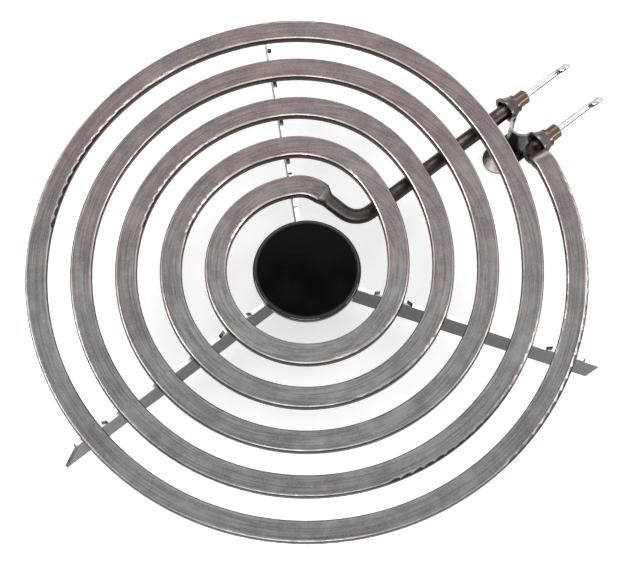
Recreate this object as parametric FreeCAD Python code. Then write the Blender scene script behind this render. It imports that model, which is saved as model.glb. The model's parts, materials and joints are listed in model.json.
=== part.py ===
import FreeCAD, Part
import math
import os

# Plug-in tubular surface element of an electric range: a flattened heating tube
# wound into five turns, on a three-armed frame of steel blades, with a plug-in
# terminal bracket. Millimetres. The origin is the hub's centre, on the plane of
# the blades' bottom edges. +Z is up and +X is the way the terminals point.

Vector = FreeCAD.Vector
UP = Vector(0, 0, 1)
OUTWARD = Vector(1, 0, 0)

# heating tube
TURNS = 5
OUTER_TURN_RADIUS = 93.0       # centre line of the outermost turn
INNER_TURN_RADIUS = 31.4       # centre line of the innermost turn
STEP_MIDDLE_ANGLE = 8.0        # azimuth about which each turn steps inward
STEP_HALF_ANGLE = 55.0
TUBE_WIDTH = 7.6               # flattened section: round below, flat on top
TUBE_HEIGHT = 6.2
TOP_CORNER_RADIUS = 1.2
LEAD_DIAMETER = 5.4            # the round leads that run to the terminals
SHEATH_WALL = 0.6
RESISTANCE_WIRE_DIAMETER = 2.6
TRANSITION_LENGTH = 3.0        # from the flattened section to the round one
OUTER_TURN_START_ANGLE = -14.2
INNER_TURN_END_ANGLE = 58.0
INNER_EASE_RADIUS = 12.0
OUTER_EASE_RADIUS = 6.0
EASE_PASSES = 12               # passes that settle where the ease's corner lies
INNER_CORNER_INSET = 5.0       # the lead's corner, in from the innermost turn
INNER_BEND_RADIUS = 8.5
OUTER_CORNER_INSET = 2.8       # the lead's corner, in from the outermost turn
OUTER_BEND_RADIUS = 4.4
COLD_PIN_DEPTH = 38.0          # how far the inner cold pin reaches into its lead

# frame of blades
BLADE_ANGLES = {"rear": 60.0, "left": 180.0, "right": 302.0}
BLADE_HEIGHT = 12.7
BLADE_THICKNESS = 1.3
BLADE_OVERHANGS = {"rear": 5.0, "left": 12.0, "right": 12.0}    # past the outermost turn
NOTCH_DEPTH = 1.7
SEAT_CLEARANCE = 0.1
TAB_RISE = 2.3
TAB_FOOT = 3.0
TAB_TIP = 0.9
TAB_TRIM = 1.0                 # the seat's cut takes this much off each tab
POINTED_FOOT_CUT = 7.0
SQUARE_FOOT_CUT = 3.2
HUB_POST_DIAMETER = 8.0

# medallion and what holds it
HUB_PLATE_DIAMETER = 28.0
HUB_PLATE_THICKNESS = 1.0
MEDALLION_DIAMETER = 37.5
MEDALLION_SHEET = 0.8
MEDALLION_RIM_RISE = 0.5
MEDALLION_RIM_WIDTH = 2.0
MEDALLION_SKIRT_GAP = 0.2      # between the skirt and the blades' top edges
RIVET_DIAMETER = 3.6
RIVET_HEAD_DIAMETER = 7.0
RIVET_HEAD_THICKNESS = 1.2
RIVET_CLEARANCE = 0.1

# terminals
TERMINAL_SPACING = 17.4
TERMINAL_MIDLINE_Y = -3.6
LEAD_TO_COIL_CLEARANCE = 0.3   # the inner lead passes under the turns
SHEATH_OVERHANG = 12.0         # the sheath's ends, past the outermost turn
BUSHING_LENGTH = 2.5
BUSHING_PROUD = 0.6
SEAL_LENGTH = 3.0
PIN_DIAMETER = 2.2
PIN_REACH = 16.5               # from the sheath's end to the loop's neck
LOOP_WIRE_DIAMETER = 1.7
LOOP_RADIUS = 2.1
LOOP_SWEEP = 300.0
LOOP_TILT = 25.0

# terminal bracket
BRACKET_SHEET = 0.8
BRACKET_OVERHANG = 3.0         # past the outermost turn
LOBE_RADIUS = 5.2
COLLAR_LENGTH = 3.2
COLLAR_THROAT_LENGTH = 1.0
BOW_RADIUS = 4.2
BOW_TOP_RISE = 2.4             # top edge of the bow above the terminals' axis
LINK_DROP = 4.2                # lower edge of the side links below that axis
TONGUE_WIDTH = 11.0
TONGUE_DROP = 14.0             # underside of the tongue below the terminals' axis
TONGUE_REACH = 15.5            # inward from the bracket

# places worked out from the sizes above
SHEATH_END_X = OUTER_TURN_RADIUS + SHEATH_OVERHANG
BRACKET_X = OUTER_TURN_RADIUS + BRACKET_OVERHANG
TURN_PITCH = (OUTER_TURN_RADIUS - INNER_TURN_RADIUS) / (TURNS - 1)
COIL_BOTTOM = BLADE_HEIGHT - NOTCH_DEPTH
HUB_POST_FOOT = RIVET_HEAD_THICKNESS    # the rivet's head is flush with the blades' bottom
COIL_MID = COIL_BOTTOM + TUBE_HEIGHT / 2
LEAD_RADIUS = LEAD_DIAMETER / 2
TERMINAL_Z = COIL_BOTTOM - LEAD_TO_COIL_CLEARANCE - LEAD_RADIUS
INNER_TERMINAL_Y = TERMINAL_MIDLINE_Y + TERMINAL_SPACING / 2
OUTER_TERMINAL_Y = TERMINAL_MIDLINE_Y - TERMINAL_SPACING / 2
FILL_END_X = SHEATH_END_X - BUSHING_LENGTH - SEAL_LENGTH
TURN_RADII = [OUTER_TURN_RADIUS - TURN_PITCH * turn for turn in range(TURNS)]


def polar(radius, degrees, z):
    """Point at a radius and an azimuth about the hub's axis."""
    angle = math.radians(degrees)
    return Vector(radius * math.cos(angle), radius * math.sin(angle), z)


def clockwise(degrees):
    """Direction of travel at an azimuth, clockwise as seen from above."""
    angle = math.radians(degrees)
    return Vector(math.sin(angle), -math.cos(angle), 0)


def unit(vector):
    """The same direction with length one."""
    return vector / vector.Length


class Line:
    """A straight stretch of a route."""

    def __init__(self, start, end):
        self.start = start
        self.end = end
        self.tangent = unit(end - start)
        self.length = (end - start).Length

    def sweep(self, face):
        return face.extrude(self.end - self.start)


class Arc:
    """The circular stretch that leaves start along tangent and ends at end."""

    def __init__(self, start, tangent, end):
        chord = end - start
        half_turn = tangent.getAngle(chord)
        self.start = start
        self.end = end
        self.tangent = unit(tangent)
        self.axis = unit(tangent.cross(chord))
        self.radius = chord.Length / (2 * math.sin(half_turn))
        self.centre = start + self.axis.cross(self.tangent) * self.radius
        self.angle = math.degrees(2 * half_turn)
        self.length = self.radius * 2 * half_turn

    def sweep(self, face):
        return face.revolve(self.centre, self.axis, self.angle)


def two_arcs(start, start_tangent, end, end_tangent):
    """Two tangent arcs that join two points with given directions of travel."""
    chord = end - start
    both = start_tangent + end_tangent
    square = 2 * (1 - start_tangent.dot(end_tangent))
    across = 2 * chord.dot(both)
    reach = (-across + math.sqrt(across ** 2 + 4 * square * chord.dot(chord))) / (2 * square)
    middle = (start + start_tangent * reach + end - end_tangent * reach) / 2
    first = Arc(start, start_tangent, middle)
    second_tangent = unit(end - end_tangent * reach - start - start_tangent * reach)
    return [first, Arc(middle, second_tangent, end)]


def rounded_route(points, radii):
    """Straight stretches through the points, with a tangent arc at each corner."""
    route = []
    here = points[0]
    for corner, after, radius in zip(points[1:], points[2:], radii):
        arriving = unit(corner - here)
        leaving = unit(after - corner)
        setback = radius * math.tan(arriving.getAngle(leaving) / 2)
        arc_start = corner - arriving * setback
        arc_end = corner + leaving * setback
        route.append(Line(here, arc_start))
        route.append(Arc(arc_start, arriving, arc_end))
        here = arc_end
    route.append(Line(here, points[-1]))
    return route


def section(run, points_and_middles):
    """Closed wire, square to the run's start, from corner points and arc middles."""
    side = unit(run.tangent.cross(UP))
    lift = side.cross(run.tangent)
    placed = [run.start + side * s + lift * u for s, u in points_and_middles]
    corners = placed[0::2]
    middles = placed[1::2]
    edges = []
    for index, corner in enumerate(corners):
        after = corners[(index + 1) % len(corners)]
        edges.append(Part.Arc(corner, middles[index], after).toShape())
    return Part.Wire(edges)


def flat_section(run, inset):
    """The coil's section: a half-round bottom, upright sides and a flat top."""
    side = unit(run.tangent.cross(UP))
    lift = side.cross(run.tangent)
    half = TUBE_WIDTH / 2 - inset
    top = TUBE_HEIGHT / 2 - inset
    corner = TOP_CORNER_RADIUS - inset
    round_z = TUBE_WIDTH / 2 - TUBE_HEIGHT / 2
    diagonal = half * math.sqrt(0.5)
    corner_diagonal = corner * math.sqrt(0.5)

    def at(s, u):
        return run.start + side * s + lift * u

    left = at(-half, round_z)
    bottom = at(0, round_z - half)
    right = at(half, round_z)
    right_top = at(half, top - corner)
    top_right = at(half - corner, top)
    top_left = at(corner - half, top)
    left_top = at(-half, top - corner)
    right_knee = at(half - corner + corner_diagonal, top - corner + corner_diagonal)
    left_knee = at(corner - half - corner_diagonal, top - corner + corner_diagonal)
    return Part.Wire([
        Part.Arc(left, at(-diagonal, round_z - diagonal), bottom).toShape(),
        Part.Arc(bottom, at(diagonal, round_z - diagonal), right).toShape(),
        Part.LineSegment(right, right_top).toShape(),
        Part.Arc(right_top, right_knee, top_right).toShape(),
        Part.LineSegment(top_right, top_left).toShape(),
        Part.Arc(top_left, left_knee, left_top).toShape(),
        Part.LineSegment(left_top, left).toShape(),
    ])


def round_section(run, radius):
    """A circle square to the run's start, in seven arcs that match the flat section's."""
    angles = [180, 270, 360, 385, 415, 485, 515]
    spots = []
    for angle, after in zip(angles, angles[1:] + [540]):
        for turn in (angle, (angle + after) / 2):
            spots.append((radius * math.cos(math.radians(turn)),
                          radius * math.sin(math.radians(turn))))
    return section(run, spots)


def disc(run, radius):
    """A plain round face square to the run's start."""
    return Part.Face(Part.Wire([Part.makeCircle(radius, run.start, run.tangent)]))


def join(solids):
    """One solid from stretches that meet face to face."""
    joined = solids[0].multiFuse(solids[1:])
    if len(joined.Solids) != 1:
        raise ValueError("the stretches don't meet")
    return joined.Solids[0]


def ease_corner(turn_end, away, corner, ease_radius):
    """Where a lead turns down, set so that its arc starts where the turn ends."""
    spot = turn_end + away * TRANSITION_LENGTH
    for _ in range(EASE_PASSES):
        setback = ease_radius * math.tan(away.getAngle(corner - spot) / 2)
        spot = turn_end + away * setback
    return spot


def lead(turn_end, away, corner, end, radii):
    """Route from a turn's end to a terminal: flat ease, transition, then round tube."""
    ease = ease_corner(turn_end, away, corner, radii[0])
    route = rounded_route([turn_end, ease, corner, end], radii)
    slope = route[2]
    changed = slope.start + slope.tangent * TRANSITION_LENGTH
    return route[1], Line(slope.start, changed), [Line(changed, slope.end)] + route[3:]


def outer_lead():
    """The lead of the outermost turn, from the turn to its terminal's cold pin."""
    turn_start = polar(OUTER_TURN_RADIUS, OUTER_TURN_START_ANGLE, COIL_MID)
    away = -clockwise(OUTER_TURN_START_ANGLE)
    corner = Vector(OUTER_TURN_RADIUS - OUTER_CORNER_INSET, OUTER_TERMINAL_Y, TERMINAL_Z)
    end = Vector(FILL_END_X, OUTER_TERMINAL_Y, TERMINAL_Z)
    return lead(turn_start, away, corner, end, [OUTER_EASE_RADIUS, OUTER_BEND_RADIUS])


def inner_lead():
    """The lead of the innermost turn, under the turns to its terminal's cold pin."""
    turn_end = polar(INNER_TURN_RADIUS, INNER_TURN_END_ANGLE, COIL_MID)
    away = clockwise(INNER_TURN_END_ANGLE)
    corner = Vector(INNER_TURN_RADIUS - INNER_CORNER_INSET, INNER_TERMINAL_Y, TERMINAL_Z)
    end = Vector(FILL_END_X - COLD_PIN_DEPTH, INNER_TERMINAL_Y, TERMINAL_Z)
    return lead(turn_end, away, corner, end, [INNER_EASE_RADIUS, INNER_BEND_RADIUS])


def turns_route():
    """The flattened turns: a plain arc each, and two tangent arcs from turn to turn."""
    route = []
    start_angle = OUTER_TURN_START_ANGLE
    for turn, radius in enumerate(TURN_RADII):
        last = turn == TURNS - 1
        end_angle = INNER_TURN_END_ANGLE if last else STEP_MIDDLE_ANGLE + STEP_HALF_ANGLE
        start = polar(radius, start_angle, COIL_MID)
        end = polar(radius, end_angle, COIL_MID)
        route.append(Arc(start, clockwise(start_angle), end))
        if last:
            break
        start_angle = STEP_MIDDLE_ANGLE - STEP_HALF_ANGLE
        next_start = polar(TURN_RADII[turn + 1], start_angle, COIL_MID)
        route.extend(two_arcs(end, clockwise(end_angle), next_start, clockwise(start_angle)))
    return route


def transition(ease, line, radius, inset):
    """Tube that changes from the flattened section at an ease's end to the round one."""
    flat_wire = flat_section(ease, inset)
    flat_wire.rotate(ease.centre, ease.axis, ease.angle)
    far = Line(line.end, line.end + line.tangent)
    return Part.makeLoft([flat_wire, round_section(far, radius)], True, True)


OUTER_EASE, OUTER_CHANGE, OUTER_ROUND_RUNS = outer_lead()
INNER_EASE, INNER_CHANGE, INNER_ROUND_RUNS = inner_lead()
COIL_ROUTE = turns_route()
INNER_COLD_RUN = Line(INNER_ROUND_RUNS[-1].end, Vector(FILL_END_X, INNER_TERMINAL_Y, TERMINAL_Z))
OUTER_COLD_RUNS = OUTER_ROUND_RUNS
HOT_RUNS = [OUTER_CHANGE, OUTER_EASE] + COIL_ROUTE + [INNER_EASE, INNER_CHANGE] + INNER_ROUND_RUNS
SEALED_ENDS = [Line(Vector(FILL_END_X, y, TERMINAL_Z), Vector(SHEATH_END_X, y, TERMINAL_Z))
               for y in (INNER_TERMINAL_Y, OUTER_TERMINAL_Y)]


def tube_body(inset):
    """Solid inside the heating tube, as deep below the sheath's skin as the inset."""
    radius = LEAD_RADIUS - inset
    stretches = []
    for run in OUTER_ROUND_RUNS[1:] + INNER_ROUND_RUNS[1:] + [INNER_COLD_RUN]:
        stretches.append(run.sweep(disc(run, radius)))
    for run in (OUTER_ROUND_RUNS[0], INNER_ROUND_RUNS[0]):
        stretches.append(run.sweep(Part.Face(round_section(run, radius))))
    for run in [OUTER_EASE] + COIL_ROUTE + [INNER_EASE]:
        stretches.append(run.sweep(Part.Face(flat_section(run, inset))))
    stretches.append(transition(OUTER_EASE, OUTER_CHANGE, radius, inset))
    stretches.append(transition(INNER_EASE, INNER_CHANGE, radius, inset))
    return join(stretches)


def sheath(skin, bore):
    """The steel sheath, open at both ends."""
    tube = skin.cut(bore)
    ends = []
    for run in SEALED_ENDS:
        outside = run.sweep(disc(run, LEAD_RADIUS))
        ends.append(outside.cut(run.sweep(disc(run, LEAD_RADIUS - SHEATH_WALL))))
    return join([tube] + ends)


def resistance_wire():
    """Plain core that stands for the wound resistance wire."""
    return join([run.sweep(disc(run, RESISTANCE_WIRE_DIAMETER / 2)) for run in HOT_RUNS])


def magnesia_fill(bore, wire):
    """The packed magnesia between the sheath and the wire with its cold pins."""
    buried = [run.sweep(disc(run, PIN_DIAMETER / 2)) for run in OUTER_COLD_RUNS + [INNER_COLD_RUN]]
    return bore.cut([wire] + buried).Solids[0]


def terminal_pin(y, buried_runs):
    """Cold pin: buried in its lead, straight past the sheath, ending in an open loop."""
    radius = PIN_DIAMETER / 2
    neck_x = SHEATH_END_X + PIN_REACH
    shown = Line(Vector(FILL_END_X, y, TERMINAL_Z), Vector(neck_x, y, TERMINAL_Z))
    stretches = [run.sweep(disc(run, radius)) for run in buried_runs + [shown]]
    neck = Line(shown.end, shown.end + OUTWARD)
    cone = Part.makeCone(radius, LOOP_WIRE_DIAMETER / 2, neck.length, neck.start, OUTWARD)
    loop_start = Line(neck.end, neck.end + OUTWARD)
    loop_up = FreeCAD.Rotation(OUTWARD, LOOP_TILT).multVec(UP)
    loop_face = disc(loop_start, LOOP_WIRE_DIAMETER / 2)
    loop_axis = OUTWARD.cross(loop_up)
    loop = loop_face.revolve(neck.end + loop_up * LOOP_RADIUS, loop_axis, LOOP_SWEEP)
    return join(stretches + [cone, loop])


def ring(outer_radius, inner_radius, x_start, length, y):
    """Ring about a terminal's axis."""
    start = Vector(x_start, y, TERMINAL_Z)
    outside = Part.makeCylinder(outer_radius, length, start, OUTWARD)
    return outside.cut(Part.makeCylinder(inner_radius, length, start, OUTWARD))


def end_seal(y):
    """Moisture seal between the magnesia and the bushing."""
    return ring(LEAD_RADIUS - SHEATH_WALL, PIN_DIAMETER / 2, FILL_END_X, SEAL_LENGTH, y)


def terminal_bushing(y):
    """Ceramic bushing that centres the pin, a little proud of the sheath."""
    start = FILL_END_X + SEAL_LENGTH
    length = BUSHING_LENGTH + BUSHING_PROUD
    return ring(LEAD_RADIUS - SHEATH_WALL, PIN_DIAMETER / 2, start, length, y)


def blade_outline(reach, foot_shape, tabs):
    """Side view of a blade, along +X from the hub's axis, with its tabs."""
    top = BLADE_HEIGHT
    if foot_shape == "pointed":
        end = [(reach, 0), (reach - POINTED_FOOT_CUT, top)]
    else:
        end = [(reach - SQUARE_FOOT_CUT, 0), (reach, top)]
    beside = TUBE_WIDTH / 2 + SEAT_CLEARANCE
    profile = [(0, 0)] + end
    for foot, direction in sorted(tabs, reverse=True):
        near = foot + direction * (beside - TAB_TRIM)
        tip = foot + direction * (beside + TAB_TIP)
        far = foot + direction * (beside + TAB_FOOT)
        spots = [(near, top), (near, top + TAB_RISE), (tip, top + TAB_RISE), (far, top)]
        profile.extend(reversed(spots) if direction > 0 else spots)
    profile.append((0, top))
    return profile


def seat_cutter(radius):
    """The coil's own section, widened by the seat's clearance, across a blade."""
    half = TUBE_WIDTH / 2 + SEAT_CLEARANCE
    round_z = COIL_BOTTOM + TUBE_WIDTH / 2
    start = Vector(radius, -BLADE_THICKNESS, round_z)
    across = Vector(0, 1, 0)
    round_part = Part.makeCylinder(half, 2 * BLADE_THICKNESS, start, across)
    corner = Vector(radius - half, -BLADE_THICKNESS, round_z)
    upper_part = Part.makeBox(2 * half, 2 * BLADE_THICKNESS, TUBE_HEIGHT, corner)
    return round_part.fuse(upper_part)


def support_blade(name, foot_shape, outermost_tab_sides):
    """Blade on edge, notched under every turn, with tabs at the first and last turns."""
    tabs = [(INNER_TURN_RADIUS, -1), (INNER_TURN_RADIUS, 1)]
    tabs += [(OUTER_TURN_RADIUS, side) for side in outermost_tab_sides]
    reach = OUTER_TURN_RADIUS + BLADE_OVERHANGS[name]
    outline = blade_outline(reach, foot_shape, tabs)
    points = [Vector(x, -BLADE_THICKNESS / 2, z) for x, z in outline]
    face = Part.Face(Part.makePolygon(points + [points[0]]))
    blade = face.extrude(Vector(0, BLADE_THICKNESS, 0))
    for radius in TURN_RADII:
        blade = blade.cut(seat_cutter(radius))
    post = Part.makeCylinder(HUB_POST_DIAMETER / 2, BLADE_HEIGHT + TAB_RISE)
    blade = blade.cut(post)
    blade.rotate(Vector(0, 0, 0), UP, BLADE_ANGLES[name])
    return blade.Solids[0]


def hub_post():
    """Short tube at the centre that the three blades are welded to."""
    start = Vector(0, 0, HUB_POST_FOOT)
    height = BLADE_HEIGHT - HUB_POST_FOOT
    bore = RIVET_DIAMETER / 2 + RIVET_CLEARANCE
    return Part.makeCylinder(HUB_POST_DIAMETER / 2, height, start).cut(
        Part.makeCylinder(bore, height, start))


def hub_plate():
    """Round plate that lies on the blades and backs the medallion."""
    start = Vector(0, 0, BLADE_HEIGHT)
    bore = RIVET_DIAMETER / 2 + RIVET_CLEARANCE
    return Part.makeCylinder(HUB_PLATE_DIAMETER / 2, HUB_PLATE_THICKNESS, start).cut(
        Part.makeCylinder(bore, HUB_PLATE_THICKNESS, start))


def medallion():
    """Enamelled cap: a flat middle, a raised rounded rim and a short skirt."""
    under = BLADE_HEIGHT + HUB_PLATE_THICKNESS
    top = under + MEDALLION_SHEET
    rim = MEDALLION_DIAMETER / 2
    crest = top + MEDALLION_RIM_RISE
    skirt_bottom = BLADE_HEIGHT + MEDALLION_SKIRT_GAP
    rim_start = rim - MEDALLION_RIM_WIDTH
    crown = rim - MEDALLION_RIM_WIDTH / 2
    inner_rim = rim - MEDALLION_SHEET

    def at(radius, z):
        return Vector(radius, 0, z)

    shoulder = MEDALLION_RIM_WIDTH / 2
    turned = at(rim - shoulder * (1 - math.sqrt(0.5)), crest - shoulder * (1 - math.sqrt(0.5)))
    edges = [
        Part.LineSegment(at(0, under), at(0, top)).toShape(),
        Part.LineSegment(at(0, top), at(rim_start, top)).toShape(),
        Part.LineSegment(at(rim_start, top), at(crown, crest)).toShape(),
        Part.Arc(at(crown, crest), turned, at(rim, crest - shoulder)).toShape(),
        Part.LineSegment(at(rim, crest - shoulder), at(rim, skirt_bottom)).toShape(),
        Part.LineSegment(at(rim, skirt_bottom), at(inner_rim, skirt_bottom)).toShape(),
        Part.LineSegment(at(inner_rim, skirt_bottom), at(inner_rim, under)).toShape(),
        Part.LineSegment(at(inner_rim, under), at(0, under)).toShape(),
    ]
    return Part.Face(Part.Wire(edges)).revolve(Vector(0, 0, 0), UP, 360)


def medallion_rivet():
    """Rivet from the medallion's underside to a head below the hub post."""
    top = BLADE_HEIGHT + HUB_PLATE_THICKNESS
    head = Part.makeCylinder(RIVET_HEAD_DIAMETER / 2, RIVET_HEAD_THICKNESS)
    shank = Part.makeCylinder(RIVET_DIAMETER / 2, top - HUB_POST_FOOT,
                              Vector(0, 0, HUB_POST_FOOT))
    return head.fuse(shank).removeSplitter().Solids[0]


def lobe_and_collar(y):
    """Round lobe of the bracket with the cone drawn out along the sheath."""
    back = BRACKET_X - BRACKET_SHEET / 2
    front = BRACKET_X + BRACKET_SHEET / 2
    throat_radius = LEAD_RADIUS + BRACKET_SHEET
    base_radius = LOBE_RADIUS - BRACKET_SHEET / 2
    lobe = Part.makeCylinder(LOBE_RADIUS, BRACKET_SHEET, Vector(back, y, TERMINAL_Z), OUTWARD)
    cone = Part.makeCone(base_radius, throat_radius, COLLAR_LENGTH,
                         Vector(front, y, TERMINAL_Z), OUTWARD)
    throat_start = Vector(front + COLLAR_LENGTH, y, TERMINAL_Z)
    throat = Part.makeCylinder(throat_radius, COLLAR_THROAT_LENGTH, throat_start, OUTWARD)
    hollow = Part.makeCone(base_radius - BRACKET_SHEET, LEAD_RADIUS,
                           COLLAR_LENGTH + BRACKET_SHEET, Vector(back, y, TERMINAL_Z), OUTWARD)
    bore = Part.makeCylinder(LEAD_RADIUS, COLLAR_THROAT_LENGTH, throat_start, OUTWARD)
    side = 1 if y > TERMINAL_MIDLINE_Y else -1
    link_end = TERMINAL_MIDLINE_Y + side * (BOW_RADIUS - BRACKET_SHEET / 2)
    low_y = min(link_end, y)
    link = Part.makeBox(BRACKET_SHEET, abs(y - link_end), LINK_DROP + BOW_TOP_RISE,
                        Vector(back, low_y, TERMINAL_Z - LINK_DROP))
    return lobe.multiFuse([cone, throat, link]).cut(hollow).cut(bore)


def terminal_bracket():
    """One stamping: two collared lobes, a web bowed inward and the tongue below."""
    tongue_bottom = TERMINAL_Z - TONGUE_DROP
    bow_top = TERMINAL_Z + BOW_TOP_RISE
    base = Vector(BRACKET_X, TERMINAL_MIDLINE_Y, tongue_bottom)
    height = bow_top - tongue_bottom
    bow = Part.makeCylinder(BOW_RADIUS + BRACKET_SHEET / 2, height, base).cut(
        Part.makeCylinder(BOW_RADIUS - BRACKET_SHEET / 2, height, base))
    keep = Part.makeBox(2 * BOW_RADIUS, 4 * BOW_RADIUS, height,
                        Vector(BRACKET_X + BRACKET_SHEET / 2 - 2 * BOW_RADIUS,
                               TERMINAL_MIDLINE_Y - 2 * BOW_RADIUS, tongue_bottom))
    half = TONGUE_WIDTH / 2
    nose_centre = Vector(BRACKET_X - TONGUE_REACH + half, TERMINAL_MIDLINE_Y, tongue_bottom)
    nose = Part.makeCylinder(half, BRACKET_SHEET, nose_centre)
    plank = Part.makeBox(BRACKET_X - nose_centre.x, TONGUE_WIDTH, BRACKET_SHEET,
                         Vector(nose_centre.x, TERMINAL_MIDLINE_Y - half, tongue_bottom))
    pieces = [lobe_and_collar(INNER_TERMINAL_Y), lobe_and_collar(OUTER_TERMINAL_Y), nose, plank]
    return bow.common(keep).multiFuse(pieces).removeSplitter().Solids[0]


TUBE_BORE = tube_body(SHEATH_WALL)
WIRE = resistance_wire()

PARTS = {
    "heating_tube_sheath": sheath(tube_body(0), TUBE_BORE),
    "magnesia_fill": magnesia_fill(TUBE_BORE, WIRE),
    "resistance_wire": WIRE,
    "terminal_pin_inner": terminal_pin(INNER_TERMINAL_Y, [INNER_COLD_RUN]),
    "terminal_pin_outer": terminal_pin(OUTER_TERMINAL_Y, OUTER_COLD_RUNS),
    "end_seal_inner": end_seal(INNER_TERMINAL_Y),
    "end_seal_outer": end_seal(OUTER_TERMINAL_Y),
    "terminal_bushing_inner": terminal_bushing(INNER_TERMINAL_Y),
    "terminal_bushing_outer": terminal_bushing(OUTER_TERMINAL_Y),
    "terminal_bracket": terminal_bracket(),
    "support_blade_rear": support_blade("rear", "square", (-1,)),
    "support_blade_left": support_blade("left", "pointed", (-1, 1)),
    "support_blade_right": support_blade("right", "square", (-1, 1)),
    "hub_post": hub_post(),
    "hub_plate": hub_plate(),
    "medallion": medallion(),
    "medallion_rivet": medallion_rivet(),
}

os.makedirs("parts", exist_ok=True)
for name, shape in PARTS.items():
    shape.exportStep("parts/" + name + ".step")
    print(name, "valid", shape.isValid(), "solids", len(shape.Solids), "volume", round(shape.Volume, 1))
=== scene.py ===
import functools
import json
import math

import bpy
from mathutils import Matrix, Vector


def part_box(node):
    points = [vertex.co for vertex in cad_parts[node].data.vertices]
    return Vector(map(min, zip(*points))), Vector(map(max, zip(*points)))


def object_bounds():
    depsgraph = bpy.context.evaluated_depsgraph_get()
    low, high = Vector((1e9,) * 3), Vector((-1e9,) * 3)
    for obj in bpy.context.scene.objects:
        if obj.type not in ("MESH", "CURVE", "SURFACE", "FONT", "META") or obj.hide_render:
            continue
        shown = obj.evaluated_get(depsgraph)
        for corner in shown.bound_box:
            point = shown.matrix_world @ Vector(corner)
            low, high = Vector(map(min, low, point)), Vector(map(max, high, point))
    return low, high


# The looks of a plug-in coil surface element. Metres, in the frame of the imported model:
# the hub's axis is Z, the terminals point along +X and the coil winds about Z.

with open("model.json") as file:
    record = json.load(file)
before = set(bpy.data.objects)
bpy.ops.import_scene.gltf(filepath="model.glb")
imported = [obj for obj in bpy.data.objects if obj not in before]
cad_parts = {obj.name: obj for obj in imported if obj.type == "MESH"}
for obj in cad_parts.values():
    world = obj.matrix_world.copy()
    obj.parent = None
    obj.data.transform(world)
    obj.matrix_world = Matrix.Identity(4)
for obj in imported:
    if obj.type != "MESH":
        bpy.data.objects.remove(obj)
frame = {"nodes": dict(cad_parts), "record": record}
BOUNDS_AT_LOAD = [list(corner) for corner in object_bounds()]

MM = 0.001

# places on the element that the finishes follow, read from the frame
SHEATH_LOW, SHEATH_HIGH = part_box("heating_tube_sheath")
BRACKET_LOW, BRACKET_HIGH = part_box("terminal_bracket")
_, BLADE_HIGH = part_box("support_blade_left")
_, MEDALLION_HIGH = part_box("medallion")
COIL_RADIUS = -SHEATH_LOW.x
COIL_TOP = SHEATH_HIGH.z
TAB_TOP = BLADE_HIGH.z
TAB_FOOT = TAB_TOP - 2.3 * MM  # just above the blades' upper edge
RIM_RADIUS = MEDALLION_HIGH.x

# the view: over the front, turned so that the terminals point up and to the right
VIEW_TURN = math.radians(-39.0)
VIEW_ELEVATION = math.radians(68.3)
VIEW_DISTANCE = 0.70
VIEW_AIM = Vector((-2.0, -4.7, 17.0)) * MM
FIELD_WIDTH = 213.0 * MM

FLOOR_HALF = 3.0  # metres from the middle to each edge
FLOOR_GLOW = 0.62  # added to the lit floor where the eye or the metal sees it
ROOM_LIGHT = 0.75  # the world's strength where it lights the element

# how far the surface faces up, from 0 on a side wall to 1 on a flat top; the shoulders' painted
# highlight lies between these two bands
SHOULDER_LOWER = (0.62, 0.76)
SHOULDER_UPPER = (0.90, 0.97)

# the terminal side and the far side ran hottest: shares of X and Y, and where tint is full
HOT_SHARES = (0.55, 0.75)
HOT_START, HOT_FULL = -40 * MM, 75 * MM

# depth below the coil's top at which the shoulders' painted highlight ends, and the leads' dark
# scale starts
HIGHLIGHT_DEPTHS = (1.5 * MM, 1.0 * MM)
LEAD_DEPTHS = (1.0 * MM, 3.0 * MM)

# the enamel's wet gloss comes in over this stretch, in from the rim
RIM_GLOSS = (1.9 * MM, 0.9 * MM)


def colour(text):
    """A hex sRGB colour as linear red, green, blue and alpha."""
    channels = [int(text[i:i + 2], 16) / 255 for i in (1, 3, 5)]
    linear = [c / 12.92 if c <= 0.04045 else ((c + 0.055) / 1.055) ** 2.4 for c in channels]
    return (*linear, 1.0)


def in_view(across, away, height):
    """A place as the viewer sees it: to the right, away from the viewer, and up."""
    cosine = math.cos(VIEW_TURN)
    sine = math.sin(VIEW_TURN)
    return Vector((across * cosine - away * sine, across * sine + away * cosine, height))


# ---- building materials from nodes

def add(tree, kind, inputs, output=0, **settings):
    """Adds a shader node with its settings and links, and gives back one output, or all of
    them where output is None."""
    made = tree.nodes.new("ShaderNode" + kind)
    for name, value in settings.items():
        setattr(made, name, value)
    pairs = inputs.items() if isinstance(inputs, dict) else enumerate(inputs)
    for socket, value in pairs:
        if isinstance(value, bpy.types.NodeSocket):
            tree.links.new(value, made.inputs[socket])
        else:
            made.inputs[socket].default_value = colour(value) if isinstance(value, str) else value
    return made.outputs if output is None else made.outputs[output]


def start_material(name, metallic, roughness=0.5):
    """A new material: itself, its shader, and add() bound to its tree."""
    made = bpy.data.materials.new(name)
    made.use_nodes = True
    shader = made.node_tree.nodes["Principled BSDF"]
    shader.inputs["Metallic"].default_value = metallic
    shader.inputs["Roughness"].default_value = roughness
    return made, shader, functools.partial(add, made.node_tree)


def surface_facts(put):
    """The point in the CAD frame, its three parts, and how far the surface faces up."""
    place = put("TexCoord", {}, "Object")
    parts = put("SeparateXYZ", [place], None)
    normal = put("NewGeometry", {}, "Normal")
    up = put("SeparateXYZ", [normal], "Z")
    return place, parts, up


def hub_distance(put, parts):
    """How far the point is from the hub's axis."""
    flat = put("CombineXYZ", [parts["X"], parts["Y"], 0.0])
    return put("VectorMath", [flat], "Value", operation="LENGTH")


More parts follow.
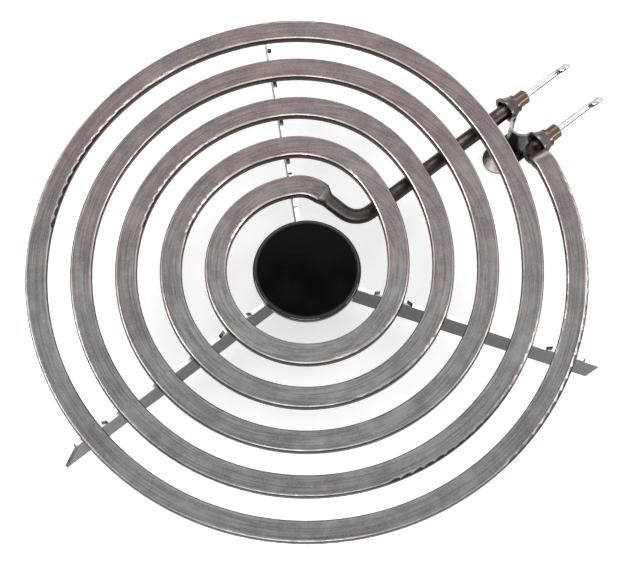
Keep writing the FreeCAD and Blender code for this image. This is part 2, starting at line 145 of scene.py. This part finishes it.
def unrolled(put, parts, across_mm, along_mm):
    """The point unrolled about the hub's axis, so that drawing lines follow the turns."""
    angle = put("Math", [parts["Y"], parts["X"]], operation="ARCTAN2")
    return put("CombineXYZ", [
        put("Math", [hub_distance(put, parts), across_mm * MM], operation="DIVIDE"),
        put("Math", [angle, COIL_RADIUS / 2 / (along_mm * MM)], operation="MULTIPLY"),
        put("Math", [parts["Z"], across_mm * MM], operation="DIVIDE"),
    ])


def close_material(put, made, shader, base, roughness, height, depth_mm, strength):
    """Links the colour, the roughness and the fine relief."""
    links = made.node_tree.links
    links.new(base, shader.inputs["Base Color"])
    links.new(roughness, shader.inputs["Roughness"])
    relief = {"Height": height, "Distance": depth_mm * MM, "Strength": strength}
    links.new(put("Bump", relief), shader.inputs["Normal"])
    return made


SOFT = {"interpolation_type": "SMOOTHSTEP"}
TIMES = {"operation": "MULTIPLY"}
BLEND = {"data_type": "RGBA", "output": 2}  # mixes two colours
SHARE, FIRST, SECOND = 0, 6, 7  # the mixer's sockets: share of the second, and two colours


def nickel_alloy_sheath():
    """Drawn nickel alloy, oxidised in use. The eye sees satin grey flats with fine lines
    along the tube, mauve heat tint and dark scaled sides. The sides also carry painted
    shade, and the shoulders and the leads' tops carry painted highlights."""
    made, shader, put = start_material("oxidised_nickel_alloy", 1.0)
    place, parts, up = surface_facts(put)

    # oxide grit is far finer than half a millimetre; it is drawn coarse enough to show
    grit = put("TexNoise", {"Vector": place, "Scale": 1 / (0.45 * MM), "Detail": 4.0,
                            "Roughness": 0.7})
    drawn = put("TexNoise", {"Vector": unrolled(put, parts, 0.55, 14.0), "Scale": 1.0,
                             "Detail": 4.0})
    blotches = put("TexNoise", {"Vector": place, "Scale": 1 / (7 * MM), "Detail": 4.0,
                                "Roughness": 0.65})
    clouds = put("TexNoise", {"Vector": place, "Scale": 1 / (34 * MM), "Detail": 3.0,
                              "Distortion": 0.6})

    # the far side and the terminal side are tinted most
    hot_side = put("Math", [put("Math", [parts["X"], HOT_SHARES[0]], **TIMES),
                            put("Math", [parts["Y"], HOT_SHARES[1]], **TIMES)], operation="ADD")
    heat = put("MapRange", [hot_side, HOT_START, HOT_FULL, 0.0, 1.0], **SOFT)
    heat = put("Math", [put("Math", [heat, clouds], operation="ADD"), 0.5],
               operation="SUBTRACT", use_clamp=True)
    mottle = put("MapRange", [blotches, 0.35, 0.65, 0.0, 1.0], **SOFT)
    cool = put("Mix", {SHARE: mottle, FIRST: "#717172", SECOND: "#838382"}, **BLEND)
    warm = put("Mix", {SHARE: mottle, FIRST: "#685c61", SECOND: "#796c6a"}, **BLEND)
    base = put("Mix", {SHARE: heat, FIRST: cool, SECOND: warm}, **BLEND)
    lines = put("MapRange", [drawn, 0.38, 0.70, 0.0, 0.60], **SOFT)
    base = put("Mix", {SHARE: lines, FIRST: base, SECOND: "#4a4645"}, **BLEND)
    sparks = put("MapRange", [grit, 0.48, 0.78, 0.0, 0.42], **SOFT)
    base = put("Mix", {SHARE: sparks, FIRST: base, SECOND: "#b4b0ab"}, **BLEND)

    # scale on the sides (partly painted shade) and leads, painted highlights on the leads' tops
    # and the shoulders, bronzed ends
    # side walls darker the less they face up: partly the scale's own colour, partly painted shade
    side = put("MapRange", [up, 0.74, 0.40, 0.0, 0.94], **SOFT)
    base = put("Mix", {SHARE: side, FIRST: base, SECOND: "#2b2827"}, **BLEND)
    below = put("MapRange", [parts["Z"], COIL_TOP - LEAD_DEPTHS[0], COIL_TOP - LEAD_DEPTHS[1],
                             0.0, 0.75], **SOFT)
    lead = put("Math", [below, put("MapRange", [up, 0.1, 0.5, 0.0, 1.0], **SOFT)], **TIMES)
    base = put("Mix", {SHARE: lead, FIRST: base, SECOND: "#38332f"}, **BLEND)
    # painted highlight: a lighter stripe along the leads' tops, stronger towards the terminals
    crown = put("MapRange", [up, 0.955, 0.99, 0.0, 0.8], **SOFT)
    crown = put("Math", [crown, put("Math", [below, mottle], **TIMES)], **TIMES)
    crown = put("Math", [crown, put("MapRange", [parts["X"], 40 * MM, 80 * MM, 0.1, 1.0])],
                **TIMES)
    base = put("Mix", {SHARE: crown, FIRST: base, SECOND: "#b09a88"}, **BLEND)

    # painted highlight: a pale line along the tube's shoulders
    shoulder = put("Math", [
        put("MapRange", [up, SHOULDER_LOWER[0], SHOULDER_LOWER[1], 0.0, 0.8], **SOFT),
        put("MapRange", [up, SHOULDER_UPPER[1], SHOULDER_UPPER[0], 0.0, 1.0], **SOFT),
    ], **TIMES)
    on_turns = put("MapRange", [parts["Z"], COIL_TOP - HIGHLIGHT_DEPTHS[0], COIL_TOP - HIGHLIGHT_DEPTHS[1],
                                0.0, 1.0], **SOFT)
    # the painted highlight is weaker on the side that the view is taken from: its direction is
    # VIEW_TURN's
    away = put("Math", [put("Math", [parts["Y"], math.cos(VIEW_TURN)], **TIMES),
                        put("Math", [parts["X"], math.sin(VIEW_TURN)], **TIMES)],
               operation="SUBTRACT")
    highlight_strength = put("MapRange", [away, -55 * MM, 20 * MM, 0.22, 1.0], **SOFT)
    highlight_strength = put("Math", [highlight_strength, put("MapRange", [blotches, 0.25, 0.6, 0.4, 1.0], **SOFT)], **TIMES)
    painted_shoulder_highlight = put("Math", [put("Math", [shoulder, on_turns], **TIMES), highlight_strength], **TIMES)
    # the pale colour of the painted shoulder highlight
    base = put("Mix", {SHARE: painted_shoulder_highlight, FIRST: base, SECOND: "#d2bfb4"}, **BLEND)
    ends = put("MapRange", [parts["X"], BRACKET_LOW.x + 14 * MM, BRACKET_HIGH.x, 0.0, 0.7],
               **SOFT)
    base = put("Mix", {SHARE: ends, FIRST: base, SECOND: "#6a5648"}, **BLEND)

    rough = put("MapRange", [grit, 0.3, 0.7, 0.34, 0.48], **SOFT)
    rough = put("Math", [rough, put("Math", [painted_shoulder_highlight, 0.14], **TIMES)], operation="SUBTRACT")
    rough = put("Math", [rough, put("Math", [ends, 0.14], **TIMES)], operation="SUBTRACT")
    relief = put("Math", [grit, drawn], operation="ADD")
    return close_material(put, made, shader, base, rough, relief, 0.03, 0.4)


def plated_stamping(name, bright, dull, flank_shade, tint, tint_ends, rough_ends):
    """Nickel or zinc plate on steel. The eye sees bright crowns, dull patches and hairline
    scratches, with some heat tint towards the terminals. Painted shade darkens the flanks."""
    made, shader, put = start_material(name, 1.0)
    place, parts, up = surface_facts(put)
    patches = put("TexNoise", {"Vector": place, "Scale": 1 / (5 * MM), "Detail": 4.0,
                               "Roughness": 0.6})
    spots = put("TexNoise", {"Vector": place, "Scale": 1 / (0.8 * MM), "Detail": 3.0})
    grain = put("VectorMath", [place, Vector((1 / 3.0, 1 / 3.0, 1 / 0.12)) / MM], **TIMES)
    scratches = put("TexNoise", {"Vector": grain, "Scale": 1.0, "Detail": 3.0})
    worn = put("MapRange", [patches, 0.35, 0.65, 0.0, 1.0], **SOFT)
    base = put("Mix", {SHARE: worn, FIRST: bright, SECOND: dull}, **BLEND)
    hairlines = put("MapRange", [scratches, 0.55, 0.75, 0.0, 0.35], **SOFT)
    base = put("Mix", {SHARE: hairlines, FIRST: base, SECOND: "#5c5b5d"}, **BLEND)
    pits = put("MapRange", [spots, 0.62, 0.75, 0.0, 0.5], **SOFT)
    base = put("Mix", {SHARE: pits, FIRST: base, SECOND: "#6a645e"}, **BLEND)
    heat = put("MapRange", [parts["X"], tint_ends[0], tint_ends[1], 0.0, 0.7], **SOFT)
    base = put("Mix", {SHARE: heat, FIRST: base, SECOND: tint}, **BLEND)
    # painted shade: the flanks darken as they turn away from facing up
    dark = put("MapRange", [up, 0.85, 0.40, 0.0, 0.88], **SOFT)
    base = put("Mix", {SHARE: dark, FIRST: base, SECOND: flank_shade}, **BLEND)
    rough = put("MapRange", [patches, 0.35, 0.7, rough_ends[0], rough_ends[1]], **SOFT)
    return close_material(put, made, shader, base, rough, scratches, 0.02, 0.3)


def plated_strip():
    """Zinc-plated cold-rolled strip. The eye sees bright sheared edges and tabs, darker
    rolled sides with lines along them, and a straw haze near the coil. The near-white of the
    edges and tabs is partly the bare metal and partly painted highlight."""
    made, shader, put = start_material("zinc_plated_strip", 1.0)
    place, parts, up = surface_facts(put)
    patches = put("TexNoise", {"Vector": place, "Scale": 1 / (6 * MM), "Detail": 4.0,
                               "Roughness": 0.6})
    grain = put("VectorMath", [place, Vector((1 / 9.0, 1 / 9.0, 1 / 0.25)) / MM], **TIMES)
    rolled = put("TexNoise", {"Vector": grain, "Scale": 1.0, "Detail": 4.0})
    worn = put("MapRange", [patches, 0.35, 0.65, 0.0, 1.0], **SOFT)
    base = put("Mix", {SHARE: worn, FIRST: "#3f3e3e", SECOND: "#585756"}, **BLEND)
    lines = put("MapRange", [rolled, 0.45, 0.75, 0.0, 0.5], **SOFT)
    base = put("Mix", {SHARE: lines, FIRST: base, SECOND: "#3c3b3b"}, **BLEND)
    haze = put("MapRange", [parts["Z"], TAB_TOP - 9 * MM, TAB_TOP, 0.0, 0.35], **SOFT)
    base = put("Mix", {SHARE: haze, FIRST: base, SECOND: "#6d6158"}, **BLEND)
    # near-white on the tabs and the upward edges: partly the sheared metal's own brightness,
    # partly painted highlight
    tab = put("MapRange", [parts["Z"], TAB_FOOT + 0.3 * MM, TAB_FOOT + 1.0 * MM, 0.0, 0.8],
              **SOFT)
    edge = put("MapRange", [up, 0.90, 0.97, 0.0, 1.0], **SOFT)
    bright = put("Math", [edge, tab], operation="MAXIMUM")
    base = put("Mix", {SHARE: bright, FIRST: base, SECOND: "#f0eeea"}, **BLEND)
    rough = put("MapRange", [patches, 0.3, 0.7, 0.28, 0.42], **SOFT)
    rough = put("Math", [rough, put("Math", [bright, 0.12], **TIMES)], operation="SUBTRACT")
    return close_material(put, made, shader, base, rough, rolled, 0.02, 0.3)


def porcelain_enamel():
    """Black porcelain enamel, fired. The eye sees deep black with a wet gloss on the
    rounded rim, a faint orange peel, a few dull specks and a soft wiping haze."""
    made, shader, put = start_material("black_porcelain_enamel", 0.0)
    place, parts, _ = surface_facts(put)
    peel = put("TexNoise", {"Vector": place, "Scale": 1 / (2.2 * MM), "Detail": 2.0})
    specks = put("TexNoise", {"Vector": place, "Scale": 1 / (0.5 * MM), "Detail": 3.0})
    haze = put("TexNoise", {"Vector": place, "Scale": 1 / (11 * MM), "Detail": 3.0})
    soft_haze = put("MapRange", [haze, 0.3, 0.7, 0.0, 1.0], **SOFT)
    base = put("Mix", {SHARE: soft_haze, FIRST: "#030303", SECOND: "#070708"}, **BLEND)
    dull = put("MapRange", [specks, 0.68, 0.78, 0.0, 0.5], **SOFT)
    base = put("Mix", {SHARE: dull, FIRST: base, SECOND: "#151517"}, **BLEND)
    rough = put("MapRange", [haze, 0.3, 0.7, 0.06, 0.14], **SOFT)
    shader.inputs["Specular IOR Level"].default_value = 0.03
    shader.inputs["Coat Roughness"].default_value = 0.05
    gloss = put("MapRange", [hub_distance(put, parts), RIM_RADIUS - RIM_GLOSS[0],
                             RIM_RADIUS - RIM_GLOSS[1], 0.0, 1.0], **SOFT)
    made.node_tree.links.new(gloss, shader.inputs["Coat Weight"])
    return close_material(put, made, shader, base, rough, peel, 0.02, 0.2)


def mottled(name, first, second, grain_mm, metallic, rough_ends):
    """Powder, rubber, unglazed ceramic or bare wire: one colour with a soft mottle."""
    made, shader, put = start_material(name, metallic)
    place, _, _ = surface_facts(put)
    mottle = put("TexNoise", {"Vector": place, "Scale": 1 / (grain_mm * MM), "Detail": 4.0,
                              "Roughness": 0.6})
    soft = put("MapRange", [mottle, 0.3, 0.7, 0.0, 1.0], **SOFT)
    base = put("Mix", {SHARE: soft, FIRST: first, SECOND: second}, **BLEND)
    rough = put("MapRange", [mottle, 0.3, 0.7, rough_ends[0], rough_ends[1]], **SOFT)
    return close_material(put, made, shader, base, rough, mottle, 0.03, 0.4)


HUB_TINT_ENDS = (0.0, 30 * MM)
FINISHES = {
    "sheath": nickel_alloy_sheath(),
    "blade_steel": plated_strip(),
    "bracket_plate": plated_stamping(
        "heat_tinted_nickel_plate", "#8d8480", "#5d5757", "#2a2526", "#5f5052",
        (BRACKET_LOW.x + 12 * MM, BRACKET_HIGH.x), (0.16, 0.34)),
    "pin_nickel": plated_stamping(
        "bright_nickel_plate", "#e2dfdb", "#bdb9b4", "#242222", "#cfc7be",
        (SHEATH_HIGH.x, SHEATH_HIGH.x + 30 * MM), (0.10, 0.22)),
    "hub_steel": plated_stamping(
        "zinc_plated_mild_steel", "#a5a4a2", "#858481", "#4c4b4a", "#8a8683",
        HUB_TINT_ENDS, (0.24, 0.40)),
    "rivet_steel": plated_stamping(
        "zinc_plated_rivet_wire", "#adacaa", "#8c8b88", "#504f4e", "#8a8683",
        HUB_TINT_ENDS, (0.22, 0.36)),
    "enamel": porcelain_enamel(),
    "magnesia": mottled("packed_magnesia", "#e6e3da", "#cfcbc0", 1.2, 0.0, (0.8, 0.95)),
    "resistance_alloy": mottled("resistance_alloy", "#8d8884", "#75706c", 0.9, 1.0, (0.3, 0.5)),
    "seal": mottled("silicone_rubber", "#8a3b2b", "#7a3325", 1.5, 0.0, (0.5, 0.65)),
    "bushing": mottled("unglazed_steatite", "#b9ac98", "#a69a86", 1.0, 0.0, (0.55, 0.75)),
}


def dress_nodes():
    """Gives every CAD node the finish of its material slot."""
    slots = {entry["node"]: entry["material_slot"] for entry in frame["record"]["subparts"]}
    for name, piece in frame["nodes"].items():
        piece.data.materials.clear()
        piece.data.materials.append(FINISHES[slots[name]])


# ---- stage, lights and view

def add_floor():
    """Plain pale sheet just under the element: white to the eye, but it keeps shadows."""
    height = BOUNDS_AT_LOAD[0][2] - 0.1 * MM
    mesh = bpy.data.meshes.new("floor")
    corners = [(x * FLOOR_HALF, y * FLOOR_HALF, height)
               for x, y in ((-1, -1), (1, -1), (1, 1), (-1, 1))]
    mesh.from_pydata(corners, [], [(0, 1, 2, 3)])
    floor = bpy.data.objects.new("floor", mesh)
    bpy.context.scene.collection.objects.link(floor)
    made, shader, put = start_material("pale_floor", 0.0, 0.9)
    shader.inputs["Base Color"].default_value = colour("#ededed")
    shader.inputs["Specular IOR Level"].default_value = 0.0
    shader.inputs["Emission Color"].default_value = colour("#ffffff")
    ray = put("LightPath", {}, None)
    seen = put("Math", [ray["Is Camera Ray"], ray["Is Glossy Ray"]], operation="MAXIMUM")
    glow = put("Math", [seen, FLOOR_GLOW], **TIMES)
    made.node_tree.links.new(glow, shader.inputs["Emission Strength"])
    mesh.materials.append(made)


def add_softbox(name, place, size, power):
    """A rectangular light that faces the hub."""
    data = bpy.data.lights.new(name, "AREA")
    data.shape = "RECTANGLE"
    data.size, data.size_y = size
    data.energy = power
    lamp = bpy.data.objects.new(name, data)
    bpy.context.scene.collection.objects.link(lamp)
    lamp.location = place
    lamp.rotation_euler = (-place).to_track_quat("-Z", "Y").to_euler()


def add_lights():
    """Soft studio light: low strips all round that catch the shoulders of the tube."""
    add_softbox("left_box", in_view(-0.80, -0.10, 0.42), (0.50, 0.20), 3.6)
    add_softbox("front_box", in_view(-0.05, -0.85, 0.40), (0.70, 0.14), 5.0)
    add_softbox("right_box", in_view(0.85, -0.15, 0.38), (0.50, 0.16), 3.0)
    add_softbox("back_box", in_view(0.05, 0.60, 0.95), (0.60, 0.40), 1.5)


def add_world():
    """White where it is seen directly or in the metal, and a plain room light elsewhere."""
    world = bpy.data.worlds.new("world")
    bpy.context.scene.world = world
    world.use_nodes = True
    tree = world.node_tree
    ray = add(tree, "LightPath", {}, None)
    seen = add(tree, "Math", [ray["Is Camera Ray"], ray["Is Glossy Ray"]], operation="MAXIMUM")
    seen = add(tree, "Math", [seen, ray["Is Transmission Ray"]], operation="MAXIMUM")
    strength = add(tree, "MapRange", [seen, 0.0, 1.0, ROOM_LIGHT, 1.0])
    background = tree.nodes["Background"]
    background.inputs["Color"].default_value = colour("#ffffff")
    tree.links.new(strength, background.inputs["Strength"])


def add_camera():
    """The camera at the view's elevation, turned about Z."""
    data = bpy.data.cameras.new("camera")
    camera = bpy.data.objects.new("camera", data)
    bpy.context.scene.collection.objects.link(camera)
    back = math.cos(VIEW_ELEVATION) * VIEW_DISTANCE
    rise = math.sin(VIEW_ELEVATION) * VIEW_DISTANCE
    camera.location = VIEW_AIM + in_view(0, -back, rise)
    camera.rotation_euler = (math.pi / 2 - VIEW_ELEVATION, 0, VIEW_TURN)
    data.lens = data.sensor_width * VIEW_DISTANCE / FIELD_WIDTH
    data.clip_start = 0.01
    bpy.context.scene.camera = camera


dress_nodes()
add_floor()
add_lights()
add_world()
add_camera()
bpy.context.scene.view_settings.view_transform = "Standard"
